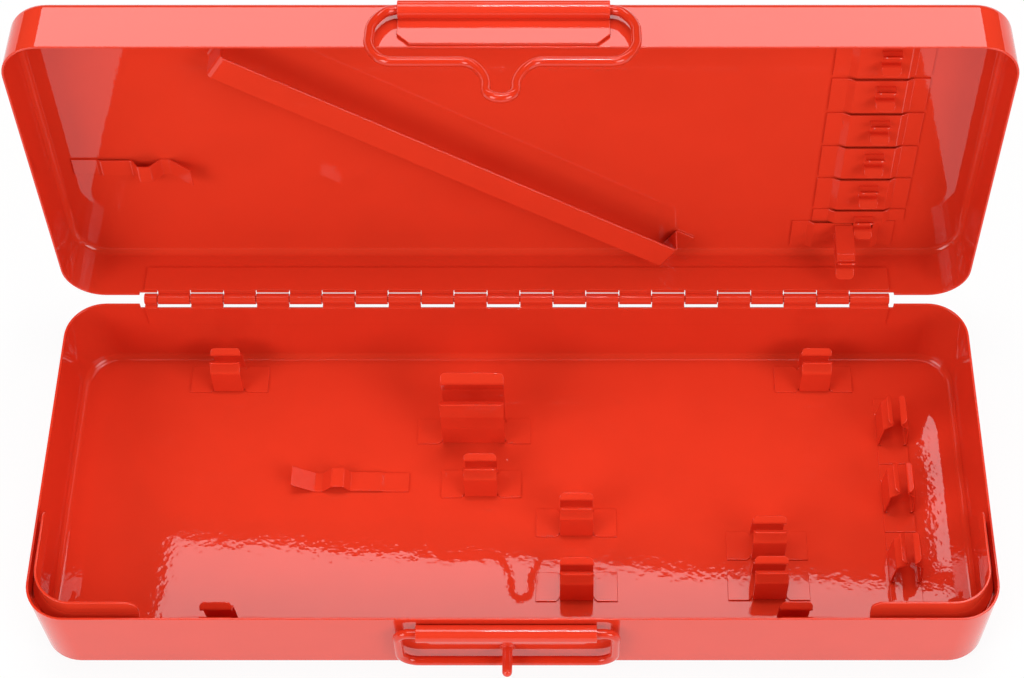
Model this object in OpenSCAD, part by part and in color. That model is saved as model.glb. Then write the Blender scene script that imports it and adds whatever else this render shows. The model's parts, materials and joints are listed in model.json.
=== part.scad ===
// Pressed steel tool case: two deep drawn shells on a continuous hinge, a wire carrying
// handle on the base, a wire bail with a tongue on the lid, and spring clips welded inside.
// Millimetres, +Z up. The origin is the middle of the base's underside, the front is -Y.

/* [Case] */
// Outside width of both shells
case_w = 400; // [360:1:440]
// Outside depth of both shells, front to back
case_d = 154; // [146:1:170]
// Height of the base shell
base_h = 44; // [44:1:52]
// Height of the lid shell
lid_h = 25.9; // [25:0.1:32]
// Thickness of the pressed sheet
sheet_t = 1.0; // [0.8:0.1:1.2]
// Outside radius of the upright corners
corner_r = 17; // [14:1:20]
// Outside radius of the pressed edge between a shell's panel and its walls
edge_r = 4; // [3:0.5:5]
// Gap between the two rims when the case is shut
rim_gap = 0.4; // [0.3:0.1:0.8]

/* [Hinge] */
// Angle through which the lid opens to its stop
lid_open = 95; // [90:1:100]
// Outside diameter of the rolled knuckles
knuckle_d = 5; // [4.6:0.1:5.4]
// Diameter of the hinge pin
pin_d = 2.9; // [2.6:0.1:3.1]
// Radial clearance of the pin in the knuckles
pin_clear = 0.05; // [0.03:0.01:0.08]
// Distance of the pin's axis behind the outside of the back wall
pin_out = 2.2; // [2:0.1:2.6]
// Thickness of the hinge leaves
leaf_t = 0.8; // [0.6:0.1:0.9]
// Height of each leaf on its wall, measured from the pin's axis
leaf_h = 15; // [12:0.5:18]
// Number of knuckles on the lid's leaf
lid_knuckles = 11; // [9:1:11]
// Distance from one lid knuckle to the next
knuckle_pitch = 29.4; // [28:0.1:30]
// Width of one lid knuckle
knuckle_w = 14.6; // [13:0.1:15.4]
// Width of the cut end of the base leaf left of the first lid knuckle
left_end_w = 6; // [5:0.5:12]
// Width of the last knuckle of the base leaf, at the right end
right_end_w = 17.6; // [12:0.1:18]
// Side gap between neighbouring knuckles
knuckle_gap = 0.3; // [0.2:0.05:0.4]
// Depth by which walls and leaves are cut back from the pin's axis where a knuckle's strap passes
relief = 3.2; // [3:0.1:4.4]
// Depth by which the lid's wall is cut back between its own knuckles
lid_relief = 1.6; // [1.5:0.1:2]
// Side gap between a strap and the notch in the wall that it passes
strap_gap = 0.3; // [0.2:0.05:0.5]
// Length of the cut in the walls beyond each end of the hinge
relief_end = 2; // [1.5:0.1:3]

/* [Handles] */
// Diameter of the wire of the handle and the bail
wire_d = 4; // [3.6:0.1:4.2]
// Play of the wire in its rolled bracket
wire_play = 0.4; // [0.2:0.05:0.45]
// Sheet thickness of the brackets
bracket_t = 1.3; // [1.1:0.1:1.4]
// Height of a bracket's flange below the wire's axis
flange_h = 16; // [14:0.5:16.5]
// Size of the bevel on the flange's lower corners
flange_bevel = 5; // [3:0.5:6]
// Sideways place of handle, bail and peg on the case
grip_x = -2.5; // [-8:0.5:8]
// Length of the wire's two ends inside the brackets
wire_in = 28; // [20:1:34]
// Height of the handle's axis above the case's underside
handle_z = 38.4; // [38:0.1:39]
// Length of the handle's bracket
handle_bracket_w = 74; // [66:1:78]
// Outside width of the handle
handle_w = 93.4; // [86:0.2:94]
// Distance from the handle's axis to the middle of its bar
handle_drop = 27; // [24:0.5:28]
// Bend radius of the handle beside its bracket
handle_top_r = 5; // [4:0.5:6]
// Bend radius of the handle beside its bar
handle_bar_r = 8; // [6:0.5:10]
// Height of the bail's axis above the lid's rim
bail_z = 16.8; // [16.6:0.1:17.4]
// Length of the bail's bracket
bail_bracket_w = 83; // [76:1:84]
// Outside width of the bail
bail_w = 106.7; // [106:0.1:112]
// Distance from the bail's axis to the middle of its bar
bail_drop = 35; // [33.8:0.1:36]
// Radius of the bail's bends next to its bracket and its bar
bail_tight_r = 6.8; // [5:0.1:7.5]
// Radius of the bail's bends next to its straight sides
bail_wide_r = 16; // [14:0.2:18]
// Distance from the bail's axis to the middle of the tongue's end
tongue_drop = 58.2; // [55:0.2:58.6]
// Distance between the middles of the tongue's two legs
tongue_w = 11.2; // [9.6:0.1:12]
// Radius of the bends from the bar towards the tongue
tongue_tight_r = 6.8; // [5:0.1:8]
// Radius of the bends that lead into the tongue's legs
tongue_wide_r = 17.8; // [14:0.1:18.5]
// Angle of the bail from the lid's front wall at rest
bail_rest = 10; // [10:0.5:12]

/* [Peg] */
// Diameter of the peg that the tongue slips over
peg_d = 4.2; // [3.6:0.1:4.6]
// Height of the peg above the case's underside
peg_z = 18; // [17:0.5:18.5]
// Length of the peg in front of the wall
peg_l = 13.7; // [10:0.1:13.8]
// Diameter of the collar at the peg's foot
peg_collar_d = 6.4; // [5.6:0.2:7]
// Thickness of that collar
peg_collar_t = 0.8; // [0.6:0.1:1.2]

/* [Corner guides] */
// Thickness of the two guides
guide_t = 1.0; // [0.8:0.1:1.2]
// Height of the guides above the base's rim
guide_up = 6.4; // [5:0.2:9]
// Depth of the guides below the base's rim
guide_down = 12; // [8:0.5:14]
// Distance by which a guide's upper part stands in from the wall
guide_in = 3.2; // [1.5:0.1:4]
// Depth below the base's rim at which a guide starts to step in
guide_step = 7; // [6:0.5:8]
// Height over which a guide steps in
guide_step_h = 4; // [3.5:0.5:5]
// Outside bend radius of the guides at the wall
guide_r = 20; // [19:0.5:24]
// Length of a guide along the side wall, from the front wall's inside
guide_side = 47; // [40:1:56]
// Length of the left guide along the front wall, from the side wall's inside
guide_front_left = 46.4; // [40:0.2:56]
// Length of the right guide along the front wall, from the side wall's inside
guide_front_right = 52.9; // [40:0.1:56]
// Radius of the guides' rounded upper corners
guide_end_r = 5; // [3:0.5:8]

/* [Small clips in the base] */
// Sheet thickness of the clips
clip_t = 0.8; // [0.6:0.1:1]
// Width of the two arms
clip_w = 14.4; // [12:0.2:16]
// Width of the arms of the four clips along the long walls
wall_clip_w = 13.5; // [12:0.1:16]
// Length of the welded plate, wing to wing
clip_span = 35.4; // [32:0.2:36]
// Depth of the welded plate
clip_plate_d = 13.8; // [12:0.2:14.4]
// Half the outside width over the feet of the arms
clip_foot = 6.9; // [6:0.1:7.4]
// Half the outside width at the arms' shoulders
clip_shoulder = 5.8; // [5:0.1:6.4]
// Height of the shoulders above the floor
clip_shoulder_z = 14.5; // [13:0.5:16]
// Half the gap between the arms at the neck
clip_neck = 1; // [0.8:0.1:1.6]
// Height of the neck above the floor
clip_neck_z = 18.4; // [17.8:0.1:19]
// Half the gap between the edges of the lips
clip_lip = 3.8; // [3.4:0.1:5]
// Height of the lips above the floor
clip_lip_z = 21; // [20.4:0.1:22]
// Distance of the clips along the long walls from the inside of their wall
wall_clip_in = 13; // [12:0.5:16]
// Distance of the left clip at the back wall from the end wall's inside
rear_left_in = 66.7; // [50:0.1:80]
// Distance of the right clip at the back wall from the end wall's inside
rear_right_in = 63.5; // [50:0.1:80]
// Distance of the left clip at the front wall from the end wall's inside
front_left_in = 73.6; // [60:0.1:90]
// Distance of the right clip at the front wall from the end wall's inside
front_right_in = 80.1; // [70:0.1:90]
// Distance of the rear one of two close clips from the right end wall's inside
right_rear_in = 89.2; // [84:0.1:94]
// Distance of the front one of two close clips from the right end wall's inside
right_front_in = 89.4; // [84:0.1:94]
// Distance of the three clips in a row from the right end wall's inside
side_clip_in = 30; // [26:0.5:32]
// Length of the plates of the three clips in a row
side_span = 34; // [32:0.2:36]
// Place of the middle one of the three clips along the end wall
side_clip_y = 1.4; // [-4:0.2:6]
// Inside radius of the bends in the clips
clip_bend_r = 0.9; // [0.6:0.1:1]
// Radius of the lips' corners
lip_corner_r = 2; // [1:0.2:3]
// Radius of the relief holes at the roots of the arms
relief_hole_r = 0.8; // [0.5:0.1:1]

/* [Wide clip in the base] */
// Width of the wide clip's arms
wide_w = 28; // [24:0.5:32]
// Length of its welded plate
wide_span = 51; // [46:0.5:56]
// Half the outside width over its feet
wide_foot = 6.4; // [6:0.1:7]
// Half the outside width over its bulge
wide_bulge = 7.6; // [6.8:0.1:8]
// Height of the bulge above the floor
wide_bulge_z = 22; // [16:0.5:24]
// Half the gap at its neck
wide_neck = 4.2; // [4:0.1:5.2]
// Height of its neck above the floor
wide_neck_z = 34.4; // [32:0.1:36]
// Half the gap between its lips
wide_lip = 8; // [6:0.1:8.4]
// Height of its lips above the floor
wide_lip_z = 37.6; // [36.5:0.1:40]

/* [Clips in the lid] */
// Number of small clips in the column
bit_clips = 6; // [4:1:6]
// Distance from one small clip to the next
bit_pitch = 20.4; // [20:0.1:21]
// Depth of a small clip's plate
bit_plate_d = 18.6; // [16:0.1:19.4]
// Length of a small clip's plate
bit_span = 40.6; // [36:0.2:42]
// Length of the raised middle of that plate
bit_bridge = 21; // [18:0.5:26]
// Length of the slopes beside the raised middle
bit_ramp = 3; // [2:0.5:4]
// Height by which the middle of the plate is raised
bit_raise = 1.6; // [1.2:0.1:2]
// Width of the arms
bit_w = 8.1; // [7:0.1:9]
// Sideways shift of the arms from the middle of their plate
bit_shift = 2.1; // [0:0.1:3]
// Half the outside width over the feet
bit_foot = 3.9; // [3.4:0.1:4.2]
// Half the gap at the neck
bit_neck = 2; // [1.7:0.1:2.4]
// Height of the neck above the raised plate
bit_neck_z = 4.2; // [3.6:0.1:5]
// Half the gap between the lips
bit_lip = 4.8; // [4:0.1:5.2]
// Height of the lips above the raised plate
bit_lip_z = 7; // [6:0.1:8]
// Length of the tall clip's plate
tall_span = 45.4; // [42:0.2:48]
// Depth of the tall clip's plate
tall_plate_d = 16.4; // [14:0.2:17]
// Height of the tall clip's shoulders above its raised plate
tall_shoulder_z = 15.4; // [12:0.2:16]
// Height of its neck above its raised plate
tall_neck_z = 18.8; // [17:0.2:19.4]
// Height of its lips above its raised plate
tall_lip_z = 21.6; // [20.4:0.2:22]
// Sideways lean of its arms for each millimetre of height
tall_lean = 0.2; // [0:0.02:0.24]
// Gap between the tall clip's plate and the last small clip
tall_gap = 0.5; // [0.3:0.1:1]

/* [Strap and spring strips] */
// Width of the strap across the lid
strap_w = 12.6; // [10:0.2:16]
// Sheet thickness of the strap
strap_t = 1.0; // [0.8:0.1:1.2]
// Height of the strap's outer face above the lid's panel
strap_h = 13; // [10:0.5:14]
// Length of the strap's welded feet
strap_foot = 10; // [7:0.5:12]
// Bend radius of the strap
strap_bend_r = 1.2; // [0.8:0.1:1.6]
// Width of the two spring strips
spring_w = 9.4; // [8:0.2:11]
// Sheet thickness of the spring strips
spring_t = 0.8; // [0.6:0.1:1]
// Length of a spring strip
spring_l = 52; // [50:1:56]
// Height of a spring strip's hump
spring_hump = 5; // [4:0.5:6]
// Height of a spring strip's free end
spring_end = 7; // [5:0.5:8]
// Bend radius of the spring strips
spring_bend_r = 2; // [1.5:0.1:2.5]

/* [Hidden] */
$fn = 48;
paint = [0.9, 0.2, 0.12];
bend_steps = 5;
over = 1;

// levels and faces that pieces share
front_y = -case_d / 2;
back_y = case_d / 2;
floor_z = sheet_t;
shut_h = base_h + rim_gap + lid_h;
panel_z = shut_h - sheet_t;
pin_y = back_y + pin_out;
pin_z = base_h + rim_gap / 2;
knuckle_r = knuckle_d / 2;
bracket_r = wire_d / 2 + wire_play + bracket_t;
bail_axis_z = base_h + rim_gap + bail_z;

// hinge layout along X, centred on the case
hinge_l = left_end_w + (lid_knuckles - 1) * knuckle_pitch + knuckle_w + right_end_w;
hinge_x0 = -hinge_l / 2;
function lid_knuckle_x(i) = hinge_x0 + left_end_w + i * knuckle_pitch;

// places of the clips, [x, y] of their middles
end_x = case_w / 2 - sheet_t;
rear_clip_y = back_y - sheet_t - wall_clip_in;
front_clip_y = -rear_clip_y;
side_clip_x = end_x - side_clip_in;
side_clip_pitch = side_span + 0.2;
bit_x = case_w / 2 - sheet_t - 47.7;
bit_y = back_y - sheet_t - 23.5;
bit_front = 6;
tall_x = bit_x - 6;
tall_front_y = bit_y + 1.9;
strap_from = [-118.8, -54];
strap_to = [67.8, 66];

// ---- flat outlines of bent sheet -------------------------------------------------

function unit(v) = v / norm(v);
function turn_side(a, b, c) = sign(cross(b - a, c - b));
function turn_angle(a, b, c) = acos(unit(b - a) * unit(c - b));
function left_of(v) = [-v[1], v[0]];
function bend_centre(a, b, c, r) =
    b - unit(b - a) * r * tan(turn_angle(a, b, c) / 2)
    + left_of(unit(b - a)) * turn_side(a, b, c) * r;
function bend_start(a, b, c) =
    let(v = -turn_side(a, b, c) * left_of(unit(b - a))) atan2(v[1], v[0]);
// points of one face of a bent strip: shift is the face's distance left of the middle line
function face(p, r, shift) = concat(
    [p[0] + shift * left_of(unit(p[1] - p[0]))],
    [for (i = [1 : len(p) - 2])
        let(a = p[i - 1], b = p[i], c = p[i + 1], s = turn_side(a, b, c))
        for (k = [0 : bend_steps])
            let(w = bend_start(a, b, c) + s * turn_angle(a, b, c) * k / bend_steps)
            bend_centre(a, b, c, r) + (r - s * shift) * [cos(w), sin(w)]],
    [p[len(p) - 1] + shift * left_of(unit(p[len(p) - 1] - p[len(p) - 2]))]);
function reversed(p) = [for (i = [len(p) - 1 : -1 : 0]) p[i]];
// outline of a strip of thickness t bent along the points p
module bent_strip(p, t, r) {
    polygon(concat(face(p, r + t / 2, t / 2), reversed(face(p, r + t / 2, -t / 2))));
}
function mirrored(p) = concat(p, [for (q = reversed(p)) [-q[0], q[1]]]);

// ---- bent wire in the XY plane, bend radii given at the inner points ---------------

module wire(p, r) {
    for (i = [0 : len(p) - 2]) {
        u = unit(p[i + 1] - p[i]);
        cut_a = i == 0 ? 0 : r[i - 1] * tan(turn_angle(p[i - 1], p[i], p[i + 1]) / 2);
        cut_b = i == len(p) - 2 ? 0 : r[i] * tan(turn_angle(p[i], p[i + 1], p[i + 2]) / 2);
        a = p[i] + u * cut_a;
        run = norm(p[i + 1] - p[i]) - cut_a - cut_b;
        if (run > 0.001)
            translate([a[0], a[1], 0]) rotate([0, 90, atan2(u[1], u[0])])
                cylinder(d = wire_d, h = run, $fn = 32);
    }
    for (i = [1 : len(p) - 2]) {
        s = turn_side(p[i - 1], p[i], p[i + 1]);
        w = turn_angle(p[i - 1], p[i], p[i + 1]);
        start = bend_start(p[i - 1], p[i], p[i + 1]);
        c = bend_centre(p[i - 1], p[i], p[i + 1], r[i - 1]);
        far = 4 * r[i - 1];
        translate([c[0], c[1], 0]) rotate([0, 0, s > 0 ? start : start - w]) intersection() {
            rotate_extrude(angle = 90, $fn = 64) translate([r[i - 1], 0])
                circle(d = wire_d, $fn = 32);
            translate([0, 0, -wire_d]) linear_extrude(2 * wire_d)
                polygon([[0, 0], [far, 0], [far, far], [far * cos(w), far * sin(w)]]);
        }
    }
}
// a soft bend from across to down: radius a, a short run on a 3-4-5 slope, radius b
lean = [3 / 5, 4 / 5];
soft_run = 2;
function soft_in(a) = a * (1 - lean[0]) / lean[1];
function soft_out(b) = b * (1 - lean[1]) / lean[0];
function soft_mid(a, b) = soft_in(a) + soft_run + soft_out(b);
function soft_across(a, b) = soft_in(a) + lean[0] * soft_mid(a, b);

// ---- shells ----------------------------------------------------------------------

// section of a wall with its pressed edge: x runs outwards from a corner's axis
module wall_section(h) {
    difference() {
        union() {
            square([corner_r - edge_r, h]);
            translate([0, edge_r]) square([corner_r, h - edge_r]);
            translate([corner_r - edge_r, edge_r]) circle(edge_r);
        }
        translate([-over, sheet_t]) square([corner_r - edge_r + over, h]);
        translate([-over, edge_r]) square([corner_r - sheet_t + over, h]);
        translate([corner_r - edge_r, edge_r]) circle(edge_r - sheet_t);
        translate([-2 * over, -over]) square([2 * over, h + 2 * over]);
    }
}
// an open pan, its panel on z = 0
module pan(h) {
    sizes = [case_w, case_d];
    translate([corner_r - case_w / 2, corner_r - case_d / 2, 0])
        cube([case_w - 2 * corner_r, case_d - 2 * corner_r, sheet_t]);
    for (k = [0 : 3]) {
        wide = sizes[k % 2];
        deep = sizes[(k + 1) % 2];
        rotate([0, 0, 90 * k]) translate([wide / 2 - corner_r, deep / 2 - corner_r, 0]) {
            rotate([90, 0, 0]) linear_extrude(deep - 2 * corner_r) wall_section(h);
            rotate_extrude(angle = 90, $fn = 64) wall_section(h);
        }
    }
}
// what is cut out of the walls along the hinge, to a depth on each side of the pin's axis
module hinge_relief(x, w, depth) {
    translate([x, back_y - corner_r / 2, pin_z - depth]) cube([w, corner_r, 2 * depth]);
}
module base_pan() {
    color(paint) difference() {
        pan(base_h);
        hinge_relief(hinge_x0 - relief_end, hinge_l + 2 * relief_end, relief);
    }
}
// children drawn in the shut lid are turned to the open stop
module in_lid() {
    translate([0, pin_y, pin_z]) rotate([-lid_open, 0, 0])
        translate([0, -pin_y, -pin_z]) children();
}
module lid_pan() {
    color(paint) in_lid() difference() {
        translate([0, 0, shut_h]) mirror([0, 0, 1]) pan(lid_h);
        hinge_relief(hinge_x0 - relief_end, hinge_l + 2 * relief_end, lid_relief);
        for (i = [0 : lid_knuckles - 1])
            hinge_relief(lid_knuckle_x(i) - strap_gap, knuckle_w - knuckle_gap + 2 * strap_gap, relief);
    }
}

// ---- hinge -----------------------------------------------------------------------

// one knuckle with the strip that joins it to its leaf, along +X from x, base side
module knuckle(x, w) {
    leaf_y = back_y - sheet_t - leaf_t;
    translate([x, 0, 0]) difference() {
        union() {
            translate([0, pin_y, pin_z]) rotate([0, 90, 0]) cylinder(r = knuckle_r, h = w);
            translate([0, leaf_y, pin_z - knuckle_r])
                cube([w, pin_y - leaf_y, leaf_t]);
            translate([0, leaf_y, pin_z - relief + 1]) cube([w, leaf_t, relief - 1 - knuckle_r + leaf_t]);
        }
        translate([-over, pin_y, pin_z]) rotate([0, 90, 0])
            cylinder(r = pin_d / 2 + pin_clear, h = w + 2 * over);
    }
}
module leaf_plate() {
    translate([hinge_x0, back_y - sheet_t - leaf_t, pin_z - leaf_h])
        cube([hinge_l, leaf_t, leaf_h - relief + 1]);
}
module base_hinge_leaf() {
    color(paint) {
        leaf_plate();
        knuckle(hinge_x0, left_end_w - knuckle_gap);
        for (i = [0 : lid_knuckles - 2])
            knuckle(lid_knuckle_x(i) + knuckle_w, knuckle_pitch - knuckle_w - knuckle_gap);
        knuckle(lid_knuckle_x(lid_knuckles - 1) + knuckle_w, right_end_w);
    }
}
module lid_hinge_leaf() {
    color(paint) in_lid() translate([0, 0, 2 * pin_z]) mirror([0, 0, 1]) {
        leaf_plate();
        for (i = [0 : lid_knuckles - 1])
            knuckle(lid_knuckle_x(i), knuckle_w - knuckle_gap);
    }
}
module hinge_pin() {
    color(paint) translate([hinge_x0, pin_y, pin_z]) rotate([0, 90, 0])
        cylinder(d = pin_d, h = hinge_l);
}

// ---- handle, bail, brackets and peg -------------------------------------------------

// rolled bracket: its wire axis lies on the X axis, the wall is the plane y = bracket_r
module bracket(w) {
    difference() {
        union() {
            translate([-w / 2, 0, 0]) rotate([0, 90, 0]) cylinder(r = bracket_r, h = w);
            translate([0, bracket_r, 0]) rotate([90, 0, 0]) linear_extrude(bracket_t)
                polygon([[-w / 2, 0], [-w / 2, flange_bevel - flange_h],
                         [flange_bevel - w / 2, -flange_h], [w / 2 - flange_bevel, -flange_h],
                         [w / 2, flange_bevel - flange_h], [w / 2, 0]]);
        }
        translate([-w / 2 - over, 0, 0]) rotate([0, 90, 0])
            cylinder(d = wire_d + 2 * wire_play, h = w + 2 * over);
    }
}
module at_handle() { translate([grip_x, front_y - bracket_r, handle_z]) children(); }
module at_bail() {
    in_lid() translate([grip_x, front_y - bracket_r, bail_axis_z]) children();
}
module handle_bracket() { color(paint) at_handle() bracket(handle_bracket_w); }
module bail_bracket() { color(paint) at_bail() bracket(bail_bracket_w); }

module carry_handle() {
    side = (handle_w - wire_d) / 2;
    tube_end = handle_bracket_w / 2;
    color(paint) at_handle() rotate([-90, 0, 0]) for (m = [0, 1]) mirror([m, 0, 0])
        wire([[tube_end - wire_in, 0], [side, 0], [side, handle_drop], [0, handle_drop]],
             [handle_top_r, handle_bar_r]);
}
module lid_bail() {
    side = (bail_w - wire_d) / 2;
    leg = tongue_w / 2;
    end_x = side - soft_across(bail_tight_r, bail_wide_r) + soft_in(bail_tight_r);
    side_y = lean[1] * soft_mid(bail_tight_r, bail_wide_r);
    neck_x = leg + soft_across(tongue_tight_r, tongue_wide_r) - soft_in(tongue_tight_r);
    leg_y = bail_drop + lean[1] * soft_mid(tongue_tight_r, tongue_wide_r);
    color(paint) at_bail() rotate([-bail_rest, 0, 0]) rotate([-90, 0, 0])
        for (m = [0, 1]) mirror([m, 0, 0])
            wire([[bail_bracket_w / 2 - wire_in, 0], [end_x, 0], [side, side_y],
                  [side, bail_drop - side_y], [end_x, bail_drop], [neck_x, bail_drop],
                  [leg, leg_y], [leg, tongue_drop], [0, tongue_drop]],
                 [bail_tight_r, bail_wide_r, bail_wide_r, bail_tight_r,
                  tongue_tight_r, tongue_wide_r, leg]);
}
module latch_peg() {
    color(paint) translate([grip_x, front_y, peg_z]) rotate([90, 0, 0]) {
        cylinder(d = peg_collar_d, h = peg_collar_t);
        cylinder(d = peg_d, h = peg_l - peg_d / 2);
        translate([0, 0, peg_l - peg_d / 2]) sphere(d = peg_d);
    }
}

// ---- corner guides ----------------------------------------------------------------

// section of a guide: x runs outwards from its corner's axis, and the foot lies on the wall
module guide_section() {
    wall = guide_r - guide_t / 2;
    bent_strip([[wall, base_h - guide_down], [wall, base_h - guide_step],
                [wall - guide_in, base_h - guide_step + guide_step_h],
                [wall - guide_in, base_h + guide_up]], guide_t, guide_t);
}
// what rounds an upper corner off: a square with the guide's corner left standing
module corner_off() {
    difference() {
        translate([-over, 0]) square([guide_end_r + over, guide_end_r + over]);
        translate([guide_end_r, 0]) circle(guide_end_r);
    }
}
// the guide in the front right corner, with its length along the front wall
module guide(front_l) {
    wall = [case_w / 2 - sheet_t, front_y + sheet_t];
    top = base_h + guide_up - guide_end_r;
    difference() {
        translate([wall[0] - guide_r, wall[1] + guide_r, 0]) {
            translate([0, guide_side - guide_r, 0]) rotate([90, 0, 0])
                linear_extrude(guide_side - guide_r) guide_section();
            rotate([0, 0, -90]) {
                rotate([90, 0, 0]) linear_extrude(front_l - guide_r) guide_section();
                rotate_extrude(angle = 90, $fn = 96) guide_section();
            }
        }
        translate([wall[0] - front_l, wall[1] + corner_r / 2, top])
            rotate([90, 0, 0]) linear_extrude(corner_r) corner_off();
        translate([wall[0] - corner_r / 2, wall[1] + guide_side, top])
            rotate([90, 0, -90]) translate([0, 0, -corner_r]) linear_extrude(2 * corner_r)
                corner_off();
    }
}
module guide_right() { color(paint) guide(guide_front_right); }
module guide_left() { color(paint) mirror([1, 0, 0]) guide(guide_front_left); }

// ---- clips ------------------------------------------------------------------------

// the arms, from a section in the YZ plane, with round corners on the lips
module arms(p, t, w, top) {
    intersection() {
        translate([-w / 2, 0, 0]) rotate([90, 0, 90]) linear_extrude(w)
            bent_strip(p, t, clip_bend_r);
        translate([0, top, 0]) rotate([90, 0, 0]) linear_extrude(2 * top) {
            translate([-w / 2, 0]) square([w, top - lip_corner_r]);
            translate([lip_corner_r - w / 2, 0]) square([w - 2 * lip_corner_r, top]);
            for (s = [-1, 1]) translate([s * (w / 2 - lip_corner_r), top - lip_corner_r])
                circle(lip_corner_r);
        }
    }
}
// a flat plate with relief holes at the roots of the arms
module wing_plate(span, w, d, t) {
    difference() {
        translate([-span / 2, -d / 2, 0]) cube([span, d, t]);
        for (x = [-1, 1], y = [-1, 1]) translate([x * (w / 2 + relief_hole_r), y * d / 2, -over])
            cylinder(r = relief_hole_r, h = t + 2 * over, $fn = 24);
    }
}
half_t = clip_t / 2;
small_arms = mirrored([[-clip_lip - half_t, clip_lip_z], [-clip_neck - half_t, clip_neck_z],
                       [half_t - clip_shoulder, clip_shoulder_z],
                       [half_t - clip_foot, half_t]]);
wide_arms = mirrored([[-wide_lip - half_t, wide_lip_z], [-wide_neck - half_t, wide_neck_z],
                      [half_t - wide_bulge, wide_bulge_z + 4],
                      [half_t - wide_bulge, wide_bulge_z - 6], [half_t - wide_foot, half_t]]);
bit_arms = mirrored([[-bit_lip - half_t, bit_lip_z], [-bit_neck - half_t, bit_neck_z],
                     [half_t - bit_foot, half_t]]);
tall_upright = mirrored([[-bit_lip - half_t, tall_lip_z], [-bit_neck - half_t, tall_neck_z],
                         [half_t - bit_foot, tall_shoulder_z], [half_t - bit_foot, half_t]]);
tall_arms = [for (q = tall_upright) [q[0] + tall_lean * (q[1] - half_t), q[1]]];

module on_floor(x, y, turn = 0) { translate([x, y, floor_z]) rotate([0, 0, turn]) children(); }
module on_panel(x, y, turn = 0) {
    in_lid() translate([x, y, panel_z]) mirror([0, 0, 1]) rotate([0, 0, turn]) children();
}
module small_clip(w = clip_w, span = clip_span) {
    wing_plate(span, w, clip_plate_d, clip_t);
    arms(small_arms, clip_t, w, clip_lip_z);
}
module wide_clip() {
    wing_plate(wide_span, wide_w, 2 * wide_foot, clip_t);
    arms(wide_arms, clip_t, wide_w, wide_lip_z);
}
// a plate from y = 0 backwards: its middle is raised and its two ends are welded down
module bridge_plate(span, bridge, d) {
    translate([0, d, 0]) rotate([90, 0, 0]) linear_extrude(d)
        bent_strip(mirrored([[-span / 2, half_t], [-bridge / 2 - bit_ramp, half_t],
                             [-bridge / 2, bit_raise + half_t]]), clip_t, half_t);
}
// the last small clip gives way to the tall clip's plate beside it
module bit_clip(i) {
    d = i < bit_clips ? bit_plate_d : tall_front_y - tall_gap - bit_y + bit_front;
    translate([0, -bit_front, 0]) bridge_plate(bit_span, bit_bridge, d);
    translate([bit_shift, 0, bit_raise]) arms(bit_arms, clip_t, bit_w, bit_lip_z);
}
module tall_clip() {
    difference() {
        bridge_plate(tall_span, bit_bridge + tall_span - bit_span, tall_plate_d);
        translate([bit_x + bit_shift - tall_x - bit_w / 2 - tall_gap, -over, 0])
            cube([bit_w + 2 * tall_gap, bit_y + bit_foot + tall_gap - tall_front_y + over,
                  over + 2 * bit_raise]);
    }
    translate([0, bit_foot, bit_raise]) arms(tall_arms, clip_t, bit_w, tall_lip_z);
}
module clip_rear_left() {
    color(paint) on_floor(rear_left_in - end_x, rear_clip_y) small_clip(wall_clip_w);
}
module clip_rear_right() {
    color(paint) on_floor(end_x - rear_right_in, rear_clip_y) small_clip(wall_clip_w);
}
module clip_front_left() {
    color(paint) on_floor(front_left_in - end_x, front_clip_y) small_clip(wall_clip_w);
}
module clip_front_right() {
    color(paint) on_floor(end_x - front_right_in, front_clip_y) small_clip(wall_clip_w);
}
module clip_wide() { color(paint) on_floor(-19.5, 35.5) wide_clip(); }
module clip_mid() { color(paint) on_floor(-15.8, 8.5) small_clip(); }
module clip_centre_rear() { color(paint) on_floor(26.5, -10.9) small_clip(); }
module clip_centre_front() { color(paint) on_floor(26.5, -42) small_clip(); }
module clip_right_rear() { color(paint) on_floor(end_x - right_rear_in, -22.2) small_clip(); }
module clip_right_front() { color(paint) on_floor(end_x - right_front_in, -41.5) small_clip(); }
module clip_side(i) {
    color(paint) on_floor(side_clip_x, side_clip_y + (2 - i) * side_clip_pitch, 90)
        small_clip(clip_w, side_span);
}
module bit_clip_at(i) {
    color(paint) on_panel(bit_x, bit_y - (bit_clips - i) * bit_pitch) bit_clip(i);
}
module lid_clip_tall() { color(paint) on_panel(tall_x, tall_front_y) tall_clip(); }

// ---- strap and spring strips --------------------------------------------------------

module lid_strap() {
    run = strap_to - strap_from;
    half = norm(run) / 2;
    mid = (strap_from + strap_to) / 2;
    flat = [case_w - 2 * edge_r, case_d - 2 * edge_r];
    color(paint) on_panel(0, 0) intersection() {
        translate([mid[0], mid[1], 0]) rotate([0, 0, atan2(run[1], run[0])])
            rotate([90, 0, 0]) translate([0, 0, -strap_w / 2]) linear_extrude(strap_w)
                bent_strip(mirrored([[-half - strap_foot, strap_t / 2], [-half, strap_t / 2],
                                     [-half, strap_h - strap_t / 2]]), strap_t, strap_bend_r);
        // the feet stop where the panel starts to bend up into the walls
        translate([-flat[0] / 2, -flat[1] / 2, -over]) cube([flat[0], flat[1], strap_h + 2 * over]);
    }
}
// welded tab, raised flat, hump, dip on the panel, and a free end that rises
spring_line = [[0, spring_t / 2], [11, spring_t / 2], [12.5, 1.5 * spring_t],
               [26, 1.5 * spring_t], [29, spring_hump], [34, spring_hump],
               [38.5, spring_t / 2], [42, spring_t / 2], [spring_l, spring_end]];
module spring_strip() {
    rotate([90, 0, 0]) translate([0, 0, -spring_w / 2]) linear_extrude(spring_w)
        bent_strip(spring_line, spring_t, spring_bend_r / 2);
}
module spring_strip_base() { color(paint) on_floor(-48, 9.3, 180) spring_strip(); }
module spring_strip_lid() { color(paint) on_panel(-190.5, 18.8) spring_strip(); }

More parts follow.
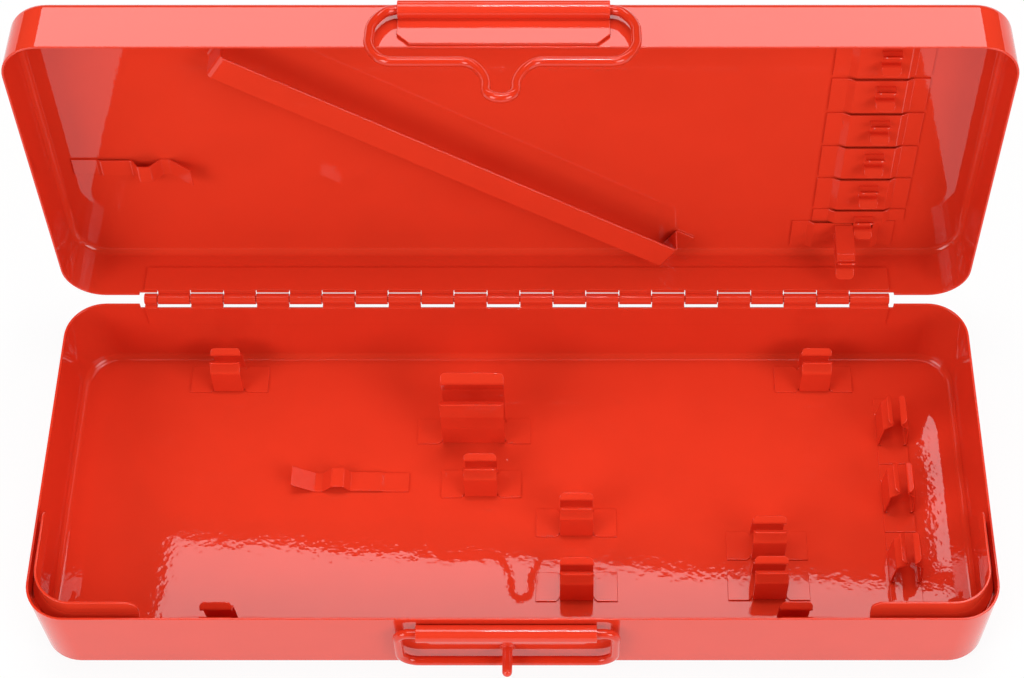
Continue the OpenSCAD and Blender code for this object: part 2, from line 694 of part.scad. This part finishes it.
base_pan();
base_hinge_leaf();
hinge_pin();
guide_left();
guide_right();
handle_bracket();
latch_peg();
clip_rear_left();
clip_rear_right();
clip_front_left();
clip_front_right();
clip_wide();
clip_mid();
clip_centre_rear();
clip_centre_front();
clip_right_rear();
clip_right_front();
clip_side(1);  // clip_side_1
clip_side(2);  // clip_side_2
clip_side(3);  // clip_side_3
spring_strip_base();
carry_handle();
lid_pan();
lid_hinge_leaf();
bail_bracket();
lid_strap();
for (i = [1 : 6])
    bit_clip_at(i);
lid_clip_tall();
spring_strip_lid();
lid_bail();
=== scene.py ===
# %% [markdown]
# # A pressed steel tool case, dressed on its frame
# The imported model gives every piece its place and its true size. This lesson loads it,
# sets up a camera and a small studio, takes the hard edges off the sheet metal, folds the
# spring clips from flat blanks, and gives the steel its baked enamel.

# %% Load the frame
import json
import math

import bmesh
import bpy
from mathutils import Matrix, Vector

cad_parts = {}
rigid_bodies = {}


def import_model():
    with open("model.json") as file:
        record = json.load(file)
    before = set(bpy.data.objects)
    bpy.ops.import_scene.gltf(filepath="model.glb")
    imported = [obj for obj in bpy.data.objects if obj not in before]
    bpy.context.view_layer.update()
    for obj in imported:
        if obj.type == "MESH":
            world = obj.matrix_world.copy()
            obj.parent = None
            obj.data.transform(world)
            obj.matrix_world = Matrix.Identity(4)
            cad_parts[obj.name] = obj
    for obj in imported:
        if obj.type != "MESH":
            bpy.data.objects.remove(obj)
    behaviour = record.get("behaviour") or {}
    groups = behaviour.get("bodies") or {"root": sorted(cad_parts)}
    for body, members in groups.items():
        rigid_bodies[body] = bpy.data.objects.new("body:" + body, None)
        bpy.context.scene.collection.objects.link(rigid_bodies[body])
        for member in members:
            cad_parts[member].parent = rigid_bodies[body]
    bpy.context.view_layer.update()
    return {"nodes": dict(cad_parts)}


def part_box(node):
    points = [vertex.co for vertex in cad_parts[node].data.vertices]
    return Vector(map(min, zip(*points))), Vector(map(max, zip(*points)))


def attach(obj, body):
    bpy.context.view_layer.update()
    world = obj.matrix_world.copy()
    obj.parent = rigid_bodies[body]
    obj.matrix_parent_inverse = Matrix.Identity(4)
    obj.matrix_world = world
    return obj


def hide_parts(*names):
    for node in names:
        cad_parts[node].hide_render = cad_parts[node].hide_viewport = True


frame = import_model()
nodes = frame["nodes"]
MM = 0.001

# %% [markdown]
# ## Camera
# The camera looks down into the open case from the front, a little to the right of its
# middle. A product photographer shifts the lens to keep the case in the frame, so the
# camera has a small shift and stays level from side to side.

# %% Camera
FOCAL_LENGTH = 72.81
SENSOR_WIDTH = 36.0
LENS_SHIFT = -0.0502
CAMERA_PLACE = (0.020797, -0.431188, 0.815863)
CAMERA_TILT = 32.369

scene = bpy.context.scene
lens_data = bpy.data.cameras.new("studio_camera")
lens_data.sensor_width = SENSOR_WIDTH
lens_data.lens = FOCAL_LENGTH
lens_data.shift_x = LENS_SHIFT
camera = bpy.data.objects.new("studio_camera", lens_data)
camera.location = CAMERA_PLACE
camera.rotation_euler = (math.radians(CAMERA_TILT), 0.0, 0.0)
scene.collection.objects.link(camera)
scene.camera = camera
scene.view_settings.view_transform = "Standard"
print("camera", [round(c, 3) for c in camera.location], "lens", lens_data.lens)

# %% [markdown]
# ## Colours and nodes
# Paint charts give colours as sRGB hex values, but a shader adds light up in linear
# values. One function turns the first into the second. A second small function adds a
# shader node with its settings and links, so that each material reads as a short list.

# %% Colour and node helpers
def linear(hex_colour):
    """One sRGB hex value as linear red, green, blue and alpha."""
    values = [int(hex_colour[i:i + 2], 16) / 255 for i in (0, 2, 4)]
    flat = [v / 12.92 if v <= 0.04045 else ((v + 0.055) / 1.055) ** 2.4 for v in values]
    return flat + [1.0]


def add_node(tree, kind, settings=None, **inputs):
    """Adds a node, sets its properties, and fills or links its inputs by name or as i0, i1."""
    node = tree.nodes.new(kind)
    for name, value in (settings or {}).items():
        setattr(node, name, value)
    for name, value in inputs.items():
        key = int(name[1:]) if name[0] == "i" and name[1:].isdigit() else name.replace("_", " ")
        socket = node.inputs[key]
        if isinstance(value, bpy.types.NodeSocket):
            tree.links.new(value, socket)
        else:
            socket.default_value = value
    return node


def blank_material(name):
    """A new material with an empty node tree."""
    material = bpy.data.materials.new(name)
    material.use_nodes = True
    material.node_tree.nodes.clear()
    return material


# %% [markdown]
# ## The room
# A plain room of even white light fills the shadows. What the camera and the gloss see of
# it is pure white, as in a light tent, while the light that it sheds is lower, so the soft
# boxes still shape the metal.

# %% The room
ROOM_FILL = 0.30


def looking_rays(tree):
    """A socket that is 1 for rays that look: from the camera, by a mirror or through glass."""
    paths = add_node(tree, "ShaderNodeLightPath")
    straight = add_node(tree, "ShaderNodeMath", {"operation": "MAXIMUM"},
                        i0=paths.outputs["Is Camera Ray"], i1=paths.outputs["Is Glossy Ray"])
    every = add_node(tree, "ShaderNodeMath", {"operation": "MAXIMUM"},
                     i0=straight.outputs[0], i1=paths.outputs["Is Transmission Ray"])
    return every.outputs[0]


world = bpy.data.worlds.new("light_tent")
world.use_nodes = True
scene.world = world
tree = world.node_tree
tree.nodes.clear()
fill = add_node(tree, "ShaderNodeBackground", Color=(1, 1, 1, 1), Strength=ROOM_FILL)
white = add_node(tree, "ShaderNodeBackground", Color=(1, 1, 1, 1), Strength=1.0)
tent = add_node(tree, "ShaderNodeMixShader", i0=looking_rays(tree), i1=fill.outputs[0],
                i2=white.outputs[0])
add_node(tree, "ShaderNodeOutputWorld", Surface=tent.outputs[0])
print("room strength:", fill.inputs["Strength"].default_value)

# %% [markdown]
# ## Soft boxes
# Gloss paint shows its surroundings as much as its own colour. It stays a deep red where
# it mirrors something dim and turns pale where it mirrors a lamp. Four soft boxes do it:
# one overhead, whose rear edge draws the pale strip along the front of the tray, one behind
# the lid, which the lid's upper wall mirrors, and a pair left and right of the camera that
# light the inside of the lid.
#
# The tube inside the overhead box shows as a hot spot. No flat panel mirrors that spot to
# the camera, but every fold and wire does, and it puts a thin glint on each. A narrow strip
# behind the overhead box is mirrored past the lid's right-hand side, and draws the long
# streak on the tray's floor.

# %% Soft boxes
def soft_box(name, place, aim, size, power, turn=0.0):
    """A rectangular lamp (metres, watts) that faces a point and is turned about Z."""
    light = bpy.data.lights.new(name, "AREA")
    light.shape = "RECTANGLE"
    light.size, light.size_y = size
    light.energy = power
    lamp = bpy.data.objects.new(name, light)
    lamp.location = place
    aimed = (Vector(aim) - Vector(place)).to_track_quat("-Z", "Y").to_matrix()
    lamp.rotation_euler = (Matrix.Rotation(math.radians(turn), 3, "Z") @ aimed).to_euler()
    scene.collection.objects.link(lamp)


soft_box("top_box", (0.06, 0.43, 1.7), (0.06, 0.43, 0.0), (1.30, 0.80), 12.6, turn=-4.0)
soft_box("hot_spot", (0.02, 0.24, 1.68), (0.02, 0.24, 0.0), (0.20, 0.10), 2.4, turn=-4.0)
soft_box("right_strip", (0.54, 0.93, 1.68), (0.54, 0.93, 0.0), (0.042, 0.28), 0.14, turn=2.0)
soft_box("back_box", (0.0, 1.9, 1.64), (0.0, 0.1, 0.24), (2.0, 0.34), 8.6)
soft_box("left_box", (-1.9, -1.5, 1.5), (0.0, 0.0, 0.1), (1.5, 1.5), 36)
soft_box("right_box", (1.9, -1.5, 1.5), (0.0, 0.0, 0.1), (1.5, 1.5), 36)

# %% [markdown]
# ## Table and flags
# The case stands on a white table that fades into the room, with only a faint shadow.
# Black velvet flags hang behind and beside the overhead box, and curtains close the
# studio above and all round, down to 0.3 m. They keep the gloss beside the pale strip
# deep red and give the wires crisp highlights. Only reflections can see them.

# %% Table and flags
def flat_sheet(name, low, high, z):
    """A level sheet between two corners, kept out of the object as part of the stage."""
    mesh = bpy.data.meshes.new(name)
    bm = bmesh.new()
    bmesh.ops.create_grid(bm, x_segments=1, y_segments=1, size=0.5)
    bmesh.ops.scale(bm, vec=(high[0] - low[0], high[1] - low[1], 1), verts=bm.verts)
    middle = ((low[0] + high[0]) / 2, (low[1] + high[1]) / 2, z)
    bmesh.ops.translate(bm, vec=middle, verts=bm.verts)
    bm.to_mesh(mesh)
    bm.free()
    sheet = bpy.data.objects.new(name, mesh)
    scene.collection.objects.link(sheet)
    return sheet


PAPER_GLOW = 0.9
table_top = flat_sheet("table_top", (-4, -4), (4, 4), 0.0)
paper = blank_material("white_paper")
tree = paper.node_tree
share = add_node(tree, "ShaderNodeMath", {"operation": "MULTIPLY"}, i0=looking_rays(tree),
                 i1=PAPER_GLOW)
matte = add_node(tree, "ShaderNodeBsdfDiffuse", Color=(0.9, 0.9, 0.9, 1))
glow = add_node(tree, "ShaderNodeEmission", Color=(1, 1, 1, 1), Strength=1.0)
top = add_node(tree, "ShaderNodeMixShader", i0=share.outputs[0], i1=matte.outputs[0],
               i2=glow.outputs[0])
add_node(tree, "ShaderNodeOutputMaterial", Surface=top.outputs[0])
table_top.data.materials.append(paper)

velvet = blank_material("black_velvet")
tree = velvet.node_tree
cloth = add_node(tree, "ShaderNodeBsdfDiffuse", Color=(0.01, 0.01, 0.01, 1))
add_node(tree, "ShaderNodeOutputMaterial", Surface=cloth.outputs[0])


def turned(axis, degrees):
    """A turn about one axis through the origin."""
    return Matrix.Rotation(math.radians(degrees), 4, axis)


def flag(name, low, high, z, turn=0.0, tip=0.0):
    """A velvet sheet that only reflections see, tipped about X and then turned about Z."""
    sheet = flat_sheet(name, low, high, z)
    sheet.data.transform(turned("Z", turn) @ turned("X", tip))
    sheet.data.materials.append(velvet)
    sheet.visible_camera = sheet.visible_diffuse = sheet.visible_shadow = False
    sheet.visible_transmission = sheet.visible_volume_scatter = False


flag("rear_flag", (-1.7, 0.798), (1.1, 1.3), 1.69, turn=-4)
flag("left_flag", (-1.7, 0.0), (-0.565, 0.80), 1.69, turn=-4)
flag("front_curtain", (-3.0, 0.3), (3.0, 2.5), 2.8, tip=90)
flag("back_curtain", (-3.0, 0.3), (3.0, 2.5), -2.2, tip=90)
flag("left_curtain", (-2.8, 0.3), (2.2, 2.5), 3.0, turn=-90, tip=90)
flag("right_curtain", (-2.8, 0.3), (2.2, 2.5), -3.0, turn=-90, tip=90)
flag("ceiling", (-3.0, -2.8), (3.0, 2.2), 2.5)

# %% [markdown]
# ## Baked enamel
# Real finish: orange-red stoving enamel, one coat sprayed on phosphated steel and baked.
# It is a hard gloss paint, an insulator with an IOR of about 1.5 and almost no roughness.
# It flows out in the oven but keeps a faint orange peel, waves 2 to 3 mm long and about
# ten micrometres deep, which only shows where the edge of a lamp is mirrored. A second,
# much longer wave follows the pressed sheet itself. The wire's red is painted a little
# darker than the sheet's, as painted shade that deepens the wire between its highlights.

# %% Enamel
def enamel(name, colour, peel_mm, peel_um, sag_mm, sag_um, rough):
    """Gloss enamel: a fine orange peel over slow waves, lengths in mm and depths in um."""
    material = blank_material(name)
    tree = material.node_tree
    where = add_node(tree, "ShaderNodeTexCoord").outputs["Object"]
    # paint gathers a little thicker and darker in patches some 30 mm wide
    cloud = add_node(tree, "ShaderNodeTexNoise", Vector=where, Scale=33.0, Detail=2.0)
    tint = add_node(tree, "ShaderNodeMapRange", Value=cloud.outputs["Fac"],
                    i1=0.3, i2=0.7, i3=0.975, i4=1.02)
    paint_colour = add_node(tree, "ShaderNodeVectorMath", {"operation": "SCALE"},
                            i0=linear(colour)[:3], Scale=tint.outputs[0])
    peel = add_node(tree, "ShaderNodeTexNoise", Vector=where, Scale=1000 / peel_mm, Detail=1.0)
    sag = add_node(tree, "ShaderNodeTexNoise", Vector=where, Scale=1000 / sag_mm, Detail=0.0)
    slow = add_node(tree, "ShaderNodeBump", Strength=1.0, Distance=sag_um * 1e-6,
                    Height=sag.outputs["Fac"])
    skin = add_node(tree, "ShaderNodeBump", Strength=1.0, Distance=peel_um * 1e-6,
                    Height=peel.outputs["Fac"], Normal=slow.outputs[0])
    haze = add_node(tree, "ShaderNodeMapRange", Value=cloud.outputs["Fac"],
                    i1=0.3, i2=0.7, i3=rough, i4=rough * 1.3)
    paint = add_node(tree, "ShaderNodeBsdfPrincipled", Base_Color=paint_colour.outputs[0],
                     Metallic=0.0, IOR=1.5, Roughness=haze.outputs[0], Normal=skin.outputs[0])
    add_node(tree, "ShaderNodeOutputMaterial", Surface=paint.outputs[0])
    return material


ENAMEL_RED = "e03b23"
# the wire's red is darker than the sheet's: painted shade for the body of the wire
SHADED_WIRE_RED = "d8341b"
enamels = {
    "enamel_on_sheet": enamel("gloss_enamel_on_sheet", ENAMEL_RED, peel_mm=2.6, peel_um=12,
                              sag_mm=40, sag_um=60, rough=0.02),
    "enamel_on_springs": enamel("gloss_enamel_on_springs", ENAMEL_RED, peel_mm=2.2,
                                peel_um=10, sag_mm=20, sag_um=20, rough=0.03),
    "enamel_on_wire": enamel("gloss_enamel_on_wire", SHADED_WIRE_RED, peel_mm=3.0, peel_um=10,
                             sag_mm=20, sag_um=20, rough=0.03),
    "enamel_on_hinge": enamel("gloss_enamel_on_hinge", ENAMEL_RED, peel_mm=2.2, peel_um=12,
                              sag_mm=20, sag_um=20, rough=0.05),
}
print("enamels:", sorted(enamels))

# %% [markdown]
# ## Softened edges
# Sheared steel has sharp edges, but paint rounds them to about 0.3 mm, and every rim then
# catches a thin line of light. The CAD solids have perfectly sharp edges. A Bevel modifier
# would trip over their loose triangles. So each sheet piece is copied, its triangles are
# merged, flat areas are dissolved to single faces, and a bevel runs round the sharp edges.
# The copy stands for its CAD node.

# %% Finish a piece
made = []


def finish_piece(piece, slot, body, stands_for):
    """Paints a piece, weights its normals to the flats, and ties it to the frame."""
    piece.data.materials.clear()
    piece.data.materials.append(enamels[slot])
    piece.data.polygons.foreach_set("use_smooth", [True] * len(piece.data.polygons))
    weights = piece.modifiers.new("flats_lead", "WEIGHTED_NORMAL")
    weights.mode, weights.weight = "FACE_AREA", 80
    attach(piece, body)
    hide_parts(stands_for)
    made.append(piece.name)


# %% Soften a node
RIM_ROUND = 0.3
THIN_ROUND = 0.2
CAD_WELD = 0.002
FLAT_WITHIN = 0.6
SHARP_FROM = 40.0


def new_piece(bm, name, mesh_name):
    """Writes a bmesh to a mesh and an object at the origin, and frees it."""
    mesh = bpy.data.meshes.new(mesh_name)
    bm.to_mesh(mesh)
    bm.free()
    piece = bpy.data.objects.new(name, mesh)
    scene.collection.objects.link(piece)
    return piece


def softened(name, slot, body, radius=RIM_ROUND):
    """A merged copy of a CAD node with its sharp edges rounded to a radius in millimetres."""
    bm = bmesh.new()
    bm.from_mesh(nodes[name].data)
    bmesh.ops.remove_doubles(bm, verts=bm.verts, dist=CAD_WELD * MM)
    bmesh.ops.dissolve_limit(bm, angle_limit=math.radians(FLAT_WITHIN), verts=bm.verts,
                             edges=bm.edges, use_dissolve_boundaries=False, delimit={"NORMAL"})
    sharp = [e for e in bm.edges if e.calc_face_angle(0) > math.radians(SHARP_FROM)]
    bmesh.ops.bevel(bm, geom=sharp, offset=radius * MM, offset_type="OFFSET", affect="EDGES",
                    segments=2, profile=0.5, material=-1, clamp_overlap=False)
    finish_piece(new_piece(bm, name + "_painted", name + "_painted"), slot, body, name)


# %% [markdown]
# The two pans, the guides, the brackets and the strap are plain sheet, and the peg is
# turned. The hinge and the spring strips are thinner, so their edges get a smaller round.

# %% Soften the sheet pieces
for name in ("base_pan", "guide_left", "guide_right", "handle_bracket", "latch_peg"):
    softened(name, "enamel_on_sheet", "base")
for name in ("lid_pan", "bail_bracket", "lid_strap"):
    softened(name, "enamel_on_sheet", "lid")
softened("base_hinge_leaf", "enamel_on_hinge", "base", THIN_ROUND)
softened("hinge_pin", "enamel_on_hinge", "base", THIN_ROUND)
softened("lid_hinge_leaf", "enamel_on_hinge", "lid", THIN_ROUND)
softened("spring_strip_base", "enamel_on_springs", "base", THIN_ROUND)
softened("spring_strip_lid", "enamel_on_springs", "lid", THIN_ROUND)
print("softened:", len(made))

# %% [markdown]
# ## Bent wires
# The carrying handle and the lid's bail are 4 mm wire bent on round pins. Painted wire
# shows every flat in its highlights, and the CAD wire is drawn with coarse bends. So each
# wire is swept again: its middle line is a chain of edges, each corner is bevelled to its
# bend radius, and a curve with a round bevel of 2 mm follows that line. A curve gives an
# even section round a bend, which extruding and turning a circle by hand would not. Its
# two end caps come loose from the tube, so they are merged to it.

# %% Bend a wire
WIRE = 4.0
WIRE_WELD = 0.01
BEND_STEPS = 14


def bent_wire(name, points, radii, place, body):
    """Sweeps a wire along half its middle line (mm), mirrored in X, and places it."""
    line = [(-x, y) for x, y in points] + points[::-1]
    bends = radii + radii[::-1]
    bm = bmesh.new()
    corners = [bm.verts.new((x * MM, y * MM, 0)) for x, y in line]
    for a, b in zip(corners, corners[1:]):
        bm.edges.new((a, b))
    for corner, bend in zip(corners[1:-1], bends):
        one, two = [e.other_vert(corner).co - corner.co for e in corner.link_edges]
        reach = bend * MM * math.tan((math.pi - one.angle(two)) / 2)
        bmesh.ops.bevel(bm, geom=[corner], offset=reach, offset_type="OFFSET",
                        affect="VERTICES", segments=BEND_STEPS, profile=0.5, material=-1,
                        clamp_overlap=False)
    bmesh.ops.remove_doubles(bm, verts=bm.verts, dist=WIRE_WELD * MM)
    bm.transform(place)
    piece = new_piece(bm, name + "_swept", name + "_line")
    for item in bpy.context.view_layer.objects:
        item.select_set(item == piece)
    bpy.context.view_layer.objects.active = piece
    bpy.ops.object.convert(target="CURVE")
    piece.data.dimensions, piece.data.fill_mode = "3D", "FULL"
    piece.data.bevel_depth, piece.data.bevel_resolution = WIRE / 2 * MM, 6
    piece.data.use_fill_caps = True
    bpy.ops.object.convert(target="MESH")
    bm = bmesh.new()
    bm.from_mesh(piece.data)
    bmesh.ops.remove_doubles(bm, verts=bm.verts, dist=WIRE_WELD * MM)
    bmesh.ops.recalc_face_normals(bm, faces=bm.faces)
    bm.to_mesh(piece.data)
    bm.free()
    finish_piece(piece, "enamel_on_wire", body, name)
    print(name, "faces", len(piece.data.polygons))


# %% [markdown]
# Both lines are drawn flat, with the wire's axis of swing along X, and then stood up on
# the front walls. The frame's lid stands open at 95 degrees about its hinge pin, so what
# sits on the lid is placed on the shut lid and turned with it. The bail leans out from
# the lid's wall by another 10 degrees.

# %% Handle and bail
def moved(x, y, z):
    """A shift in millimetres."""
    return Matrix.Translation(Vector((x, y, z)) * MM)


PIN_Y, PIN_Z = 79.2, 44.2
LID_OPEN = 95
OPEN = moved(0, PIN_Y, PIN_Z) @ turned("X", -LID_OPEN) @ moved(0, -PIN_Y, -PIN_Z)
WALL_UP = turned("X", -90)
bent_wire("carry_handle", [(9, 0), (44.7, 0), (44.7, 27)], [5, 8],
          moved(-2.5, -80.7, 38.4) @ WALL_UP, "carry_handle")
BAIL_LINE = [(13.5, 0), (44.91, 0), (51.35, 8.587), (51.35, 26.413), (44.91, 35),
             (12.4, 35), (5.6, 44.067), (5.6, 58.2)]
BAIL_RADII = [6.8, 16, 16, 6.8, 6.8, 17.8, 5.6]
bent_wire("lid_bail", BAIL_LINE, BAIL_RADII,
          OPEN @ moved(-2.5, -80.7, 61.2) @ turned("X", -10) @ WALL_UP, "lid_bail")

# %% [markdown]
# ## Spring clips
# Each clip is a blank of 0.8 mm spring steel that a press folds up: two wings are welded
# to the panel and the strip between them becomes two arms, pinched to a neck and flared
# out to lips. Lofting or boxes would lose the even thickness, so the clip is made the way
# the press makes it. A flat blank is drawn at the middle of the sheet, its strip is
# extruded from fold to fold, each fold is rounded, and Solidify gives the thickness.

# %% Folding helpers
SHEET = 0.8
FOLD_R = 1.3
FOLD_STEPS = 6


def fold_strip(bm, edge, line):
    """Extrudes an edge through the points of a line. Returns the folds and the last edge."""
    folds = []
    for a, b in zip(line, line[1:]):
        grown = bmesh.ops.extrude_edge_only(bm, edges=[edge])["geom"]
        verts = [g for g in grown if isinstance(g, bmesh.types.BMVert)]
        bmesh.ops.translate(bm, vec=Vector(b) - Vector(a), verts=verts)
        folds.append(edge)
        edge = next(e for e in verts[0].link_edges if e.other_vert(verts[0]) in verts)
    return folds, edge


def round_folds(bm, folds, radius):
    """Rounds each fold to a radius: the bevel starts radius x tan(half the turn) away."""
    for fold in folds:
        reach = radius * math.tan(fold.calc_face_angle() / 2)
        bmesh.ops.bevel(bm, geom=[fold], offset=reach, offset_type="OFFSET", affect="EDGES",
                        segments=FOLD_STEPS, profile=0.5, material=-1, clamp_overlap=False)


def round_lip(bm, edge, radius=2.0):
    """Rounds the two corners at the free edge of an arm."""
    bmesh.ops.bevel(bm, geom=list(edge.verts), offset=radius, offset_type="OFFSET",
                    affect="VERTICES", segments=FOLD_STEPS, profile=0.5, material=-1,
                    clamp_overlap=False)


def thicken(bm, name, place, slot, body):
    """Turns the folded middle sheet into a painted piece of its real thickness."""
    bm.transform(place)
    bmesh.ops.recalc_face_normals(bm, faces=bm.faces)
    piece = new_piece(bm, name + "_folded", name + "_folded")
    shell = piece.modifiers.new("sheet", "SOLIDIFY")
    shell.thickness, shell.offset, shell.use_even_offset = SHEET * MM, 0.0, True
    edge = piece.modifiers.new("paint_edge", "BEVEL")
    edge.width, edge.segments, edge.limit_method = THIN_ROUND * MM, 3, "ANGLE"
    edge.angle_limit, edge.use_clamp_overlap = math.radians(50), False
    finish_piece(piece, slot, body, name)


# %% [markdown]
# The blank of a base clip is shaped like an H: small relief notches part the wings from
# the strip, so that the fold can start inside the plate without tearing it. The clips at
# the right-hand wall are the same clip, turned by a quarter.

# %% Fold a base clip
NOTCH = 1.6


def base_clip(name, span, width, depth, arm, turn=0.0):
    """A clip on the tray's floor, of this span over its wings and this width of its arms.

    arm lists [across, up] points from the fold to the lip, and depth is that of a wing.
    """
    bm = bmesh.new()
    fold_y = arm[0][0]
    inner_y = fold_y - NOTCH
    w, d = width / 2, depth / 2
    # up the side of the notch, then round the corner of the wing and out to its end
    corner = [(w, inner_y), (w + 0.45, inner_y + 0.2), (w + 0.5, d - 0.85), (w + 1.1, d - 0.7),
              (w + 1.6, d), (span / 2, d)]
    strip = [(w, inner_y), (w, fold_y), (-w, fold_y), (-w, inner_y)]
    known = {}

    def vert(x, y):
        """The blank's vertex at x, y, so that wings and strip share their corners."""
        key = (round(x, 4), round(y, 4))
        if key not in known:
            known[key] = bm.verts.new((x, y, SHEET / 2))
        return known[key]

    for side in (1, -1):
        wing = [(side * x, y) for x, y in corner] + [(side * x, -y) for x, y in reversed(corner)]
        bm.faces.new([vert(*p) for p in wing])
    bm.faces.new([vert(*p) for p in strip] + [vert(-x, -y) for x, y in strip])
    for side in (1, -1):
        root = bm.edges.get((vert(-w, side * fold_y), vert(w, side * fold_y)))
        folds, lip = fold_strip(bm, root, [(0, side * y, z) for y, z in arm])
        round_lip(bm, lip)
        round_folds(bm, folds, FOLD_R)
    low, high = (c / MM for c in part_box(name))
    middle = (low.x + high.x) / 2, (low.y + high.y) / 2, low.z
    place = Matrix.Scale(MM, 4) @ Matrix.Translation(middle) @ turned("Z", turn)
    thicken(bm, name, place, "enamel_on_springs", "base")


# %% Base clips
SMALL_ARM = [(6.5, 0.4), (5.4, 14.5), (1.4, 18.4), (4.2, 21.0)]
WIDE_ARM = [(6.0, 0.4), (7.2, 16.0), (7.2, 26.0), (4.6, 34.4), (8.4, 37.6)]
for name in ("clip_rear_left", "clip_rear_right", "clip_front_left", "clip_front_right"):
    base_clip(name, span=35.4, width=13.5, depth=13.8, arm=SMALL_ARM)
for name in ("clip_mid", "clip_centre_rear", "clip_centre_front", "clip_right_rear",
             "clip_right_front"):
    base_clip(name, span=35.4, width=14.4, depth=13.8, arm=SMALL_ARM)
for name in ("clip_side_1", "clip_side_2", "clip_side_3"):
    base_clip(name, span=34.0, width=14.4, depth=13.8, arm=SMALL_ARM, turn=90)
base_clip("clip_wide", span=51.0, width=28.0, depth=12.8, arm=WIDE_ARM)
print("pieces so far:", len(made))

# %% [markdown]
# The lid's small clips sit on a bridge: the middle of their plate is raised, and its two
# ends are welded down. The arms are a second strip through the bridge. Each clip is folded
# upright, turned over to hang from the panel of the shut lid, and opened with the lid.

# %% Fold a lid clip
PANEL_Z = 69.3
BRIDGE_RISE = 1.6
RAMP = 3.0
RAMP_R = 0.8
ARM_HALF = 4.05
ARM_RISE = 1.58


def lid_clip(name, x, y, span, bridge, front, depth, arm, shift, across, notch=None):
    """A bridged clip on the lid's panel, at x, y of the shut lid.

    span is over the welded ends, and bridge is the raised part, from front to depth along
    Y. shift moves the arms along X, across places their points along Y, and notch is the
    left, right and back of a cut-out in the bridge's front edge.
    """
    bm = bmesh.new()
    half, foot, top = bridge / 2, SHEET / 2, BRIDGE_RISE + SHEET / 2
    outline = [(-half, front + depth), (-half, front)]
    if notch:
        left, right, back = notch
        outline += [(left, front), (left, back), (right, back), (right, front)]
    outline += [(half, front), (half, front + depth)]
    bridge_face = bm.faces.new([bm.verts.new((px, py, top)) for px, py in outline])
    ramps = []
    for side in (-1, 1):
        ends = [c for c in bridge_face.verts if abs(c.co.x - side * half) < 1e-6]
        line = [(side * half, 0, top), (side * (half + RAMP), 0, foot), (side * span / 2, 0, foot)]
        ramps += fold_strip(bm, bm.edges.get(ends), line)[0]
    round_folds(bm, ramps, RAMP_R)
    path = [(-py, pz) for py, pz in reversed(arm)] + arm
    path = [(0, across(py, pz), pz + ARM_RISE) for py, pz in path]
    corners = [bm.verts.new((shift + side * ARM_HALF, *path[0][1:])) for side in (-1, 1)]
    first = bm.edges.new(corners)
    folds, last = fold_strip(bm, first, path)
    for lip in (first, last):
        round_lip(bm, lip)
    round_folds(bm, folds[1:], FOLD_R)
    turned_over = Matrix.Diagonal((MM, MM, -MM, 1))
    thicken(bm, name, OPEN @ moved(x, y, PANEL_Z) @ turned_over, "enamel_on_springs", "lid")


# %% Lid clips
BIT_PITCH = 20.4
BIT_ARM = [(3.5, 0.4), (2.4, 4.2), (5.2, 7.0)]
TALL_ARM = [(3.5, 0.4), (3.5, 15.4), (2.4, 18.8), (5.2, 21.6)]
for i in range(1, 7):
    # the last bridge of the row is cut short, to make room for the tall clip
    lid_clip(f"bit_clip_{i}", x=151.3, y=52.5 - (6 - i) * BIT_PITCH, span=40.6, bridge=21.0,
             front=-6.0, depth=18.6 if i < 6 else 7.4, arm=BIT_ARM, shift=2.1,
             across=lambda py, pz: py)
lid_clip("lid_clip_tall", x=145.3, y=54.4, span=45.4, bridge=25.8, front=0.0, depth=16.4,
         arm=TALL_ARM, shift=0.0, across=lambda py, pz: py + 3.9 + 0.2 * (pz - 0.4),
         notch=(3.55, 12.65, 2.5))
print("pieces made:", len(made), "of", len(nodes))
